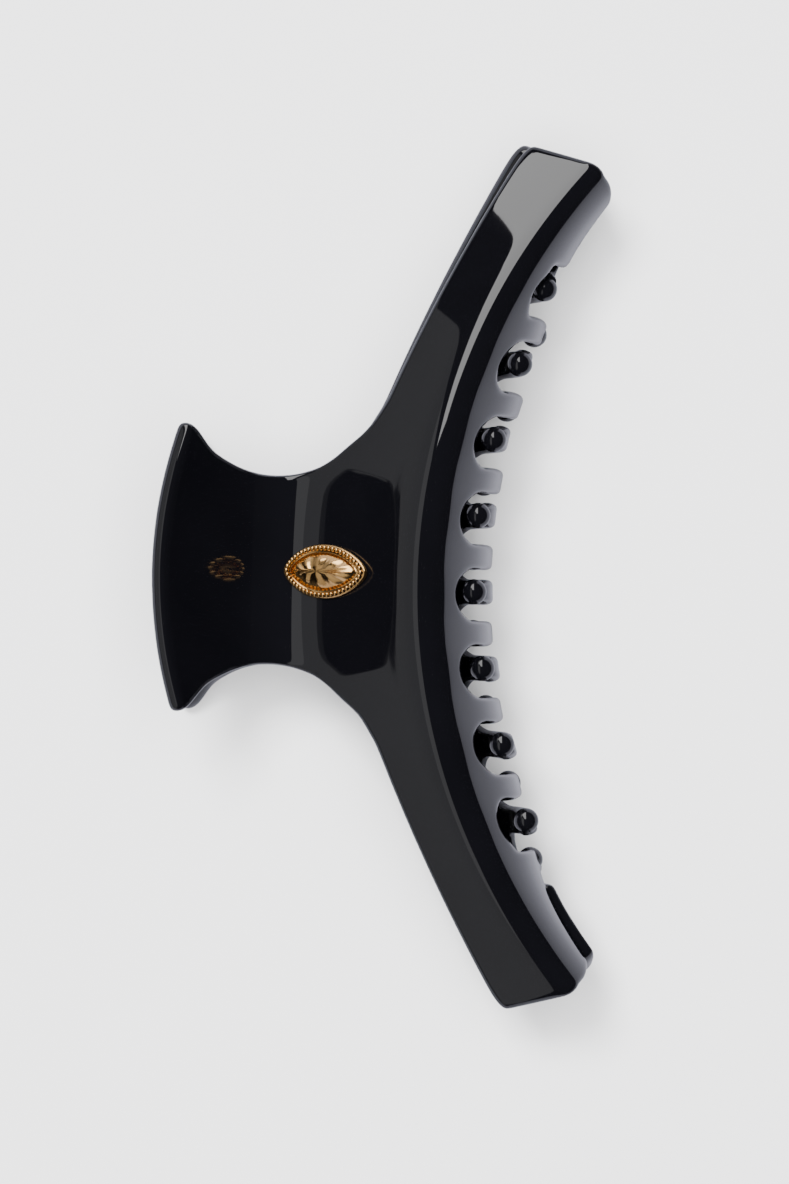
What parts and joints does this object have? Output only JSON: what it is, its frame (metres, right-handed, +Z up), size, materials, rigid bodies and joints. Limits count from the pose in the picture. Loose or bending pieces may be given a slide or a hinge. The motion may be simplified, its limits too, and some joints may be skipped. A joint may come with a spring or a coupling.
{
  "type": "jaw hair clip",
  "caption": "Large glossy jaw hair clip: two arched jaws with interleaved ball-tipped teeth, finger tabs, a sprung pin hinge and a small cast ornament.",
  "frame": {"origin": "centre of the clip's footprint, on the surface it lies on", "axes": "+X from the finger tabs to the teeth, +Y along the row of teeth, +Z up"},
  "size_m": [0.0686, 0.1308, 0.0399],
  "materials": {
    "jaws": "polished",
    "pin": "drawn",
    "spring": "oiled",
    "ornament": "polished gold plate"
  },
  "bodies": {
    "lower_jaw": {"lower_jaw": "jaws", "hinge_pin": "pin", "torsion_spring": "spring"},
    "upper_jaw": {"upper_jaw": "jaws", "ornament": "ornament"}
  },
  "joints": [
    {"name": "jaw_hinge", "type": "hinge", "parent": "lower_jaw", "child": "upper_jaw", "pos_m": [-0.01348, 0, 0.01996], "axis": [0, -1, 0], "range_deg": [0, 55], "stiffness_Nm_per_rad": 0.062, "springref_deg": -45.84, "deforming": ["torsion_spring"]}
  ]
}
